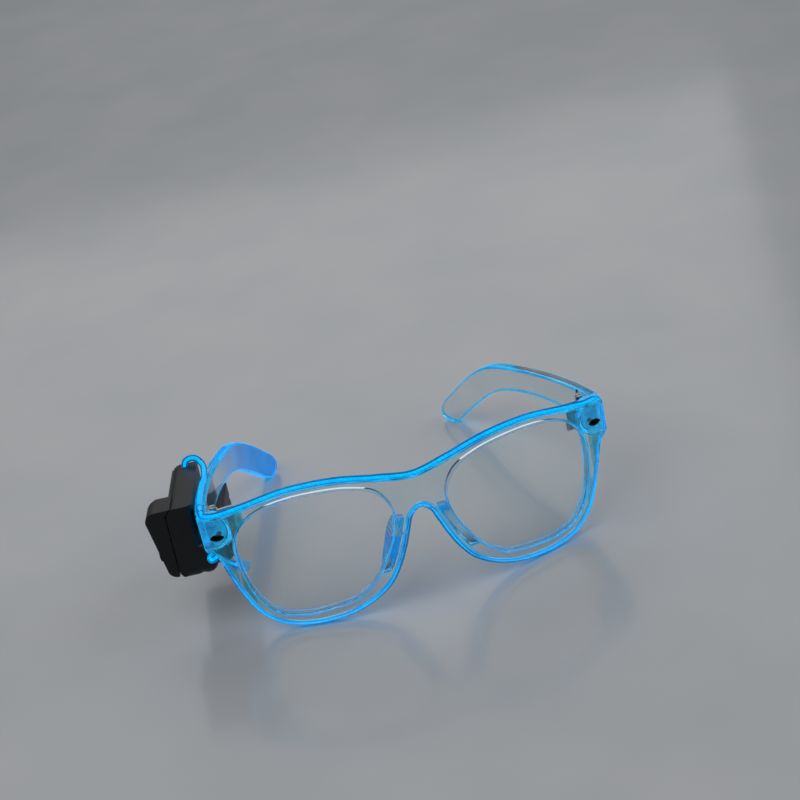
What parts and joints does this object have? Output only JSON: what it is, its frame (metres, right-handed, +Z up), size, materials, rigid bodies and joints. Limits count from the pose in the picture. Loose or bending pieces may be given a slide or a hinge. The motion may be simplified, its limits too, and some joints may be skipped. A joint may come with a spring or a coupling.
{
  "type": "light up party glasses",
  "caption": "Clear party glasses edged with a glowing wire, with folding temples and a battery driver box on the wearer's right temple.",
  "frame": {"origin": "centre of the footprint, on the surface that the open glasses stand on", "axes": "+X to the wearer's left across the front, +Y from the front back along the temples, +Z up"},
  "size_m": [0.1578, 0.1154, 0.0547],
  "materials": {
    "clear_plastic": "clear, polished",
    "glow_wire": "translucent, glowing blue",
    "wire_cap": "satin, translucent",
    "lens": "clear, polished",
    "stud": "dark, polished",
    "hinge_steel": "satin",
    "black_plastic": "satin",
    "button": "matt",
    "circuit_board": "satin",
    "transformer": "satin",
    "switch_body": "matt",
    "cell_can": "satin",
    "contact_metal": "satin"
  },
  "bodies": {
    "front": {"front_frame": "clear_plastic", "glow_wire_front": "glow_wire", "glow_wire_hinge": "glow_wire", "wire_tail_cap": "wire_cap", "lens_right": "lens", "lens_left": "lens", "stud_right": "stud", "stud_left": "stud", "hinge_front_leaf_right": "hinge_steel", "hinge_front_leaf_left": "hinge_steel", "hinge_screw_right": "hinge_steel", "hinge_screw_left": "hinge_steel"},
    "right_temple": {"temple_right": "clear_plastic", "hinge_temple_leaf_right": "hinge_steel", "glow_wire_temple": "glow_wire", "box_body": "black_plastic", "box_inner_shell": "black_plastic", "driver_case": "black_plastic", "driver_board": "circuit_board", "driver_transformer": "transformer", "tactile_switch": "switch_body", "coin_cell_inner": "cell_can", "coin_cell_outer": "cell_can", "contact_negative": "contact_metal", "contact_positive": "contact_metal", "case_screw_front": "hinge_steel", "case_screw_rear": "hinge_steel"},
    "left_temple": {"temple_left": "clear_plastic", "hinge_temple_leaf_left": "hinge_steel"},
    "cover": {"battery_cover": "black_plastic"},
    "button": {"mode_button": "button"}
  },
  "joints": [
    {"name": "temple_right_fold", "type": "hinge", "parent": "front", "child": "right_temple", "pos_m": [-0.0564, -0.03425, 0.03985], "axis": [0, 0, -1], "range_deg": [0, 67], "deforming": ["glow_wire_hinge"]},
    {"name": "temple_left_fold", "type": "hinge", "parent": "front", "child": "left_temple", "pos_m": [0.07235, -0.03425, 0.03985], "axis": [0, 0, 1], "range_deg": [0, 76]},
    {"name": "mode_button_press", "type": "slide", "parent": "right_temple", "child": "button", "axis": [0.9877, -0.1564, 0], "range_m": [0, 0.0006], "stiffness_N_per_m": 150},
    {"name": "battery_cover_slide", "type": "slide", "parent": "right_temple", "child": "cover", "axis": [0.1533, 0.9679, -0.1994], "range_m": [0, 0.01]}
  ]
}
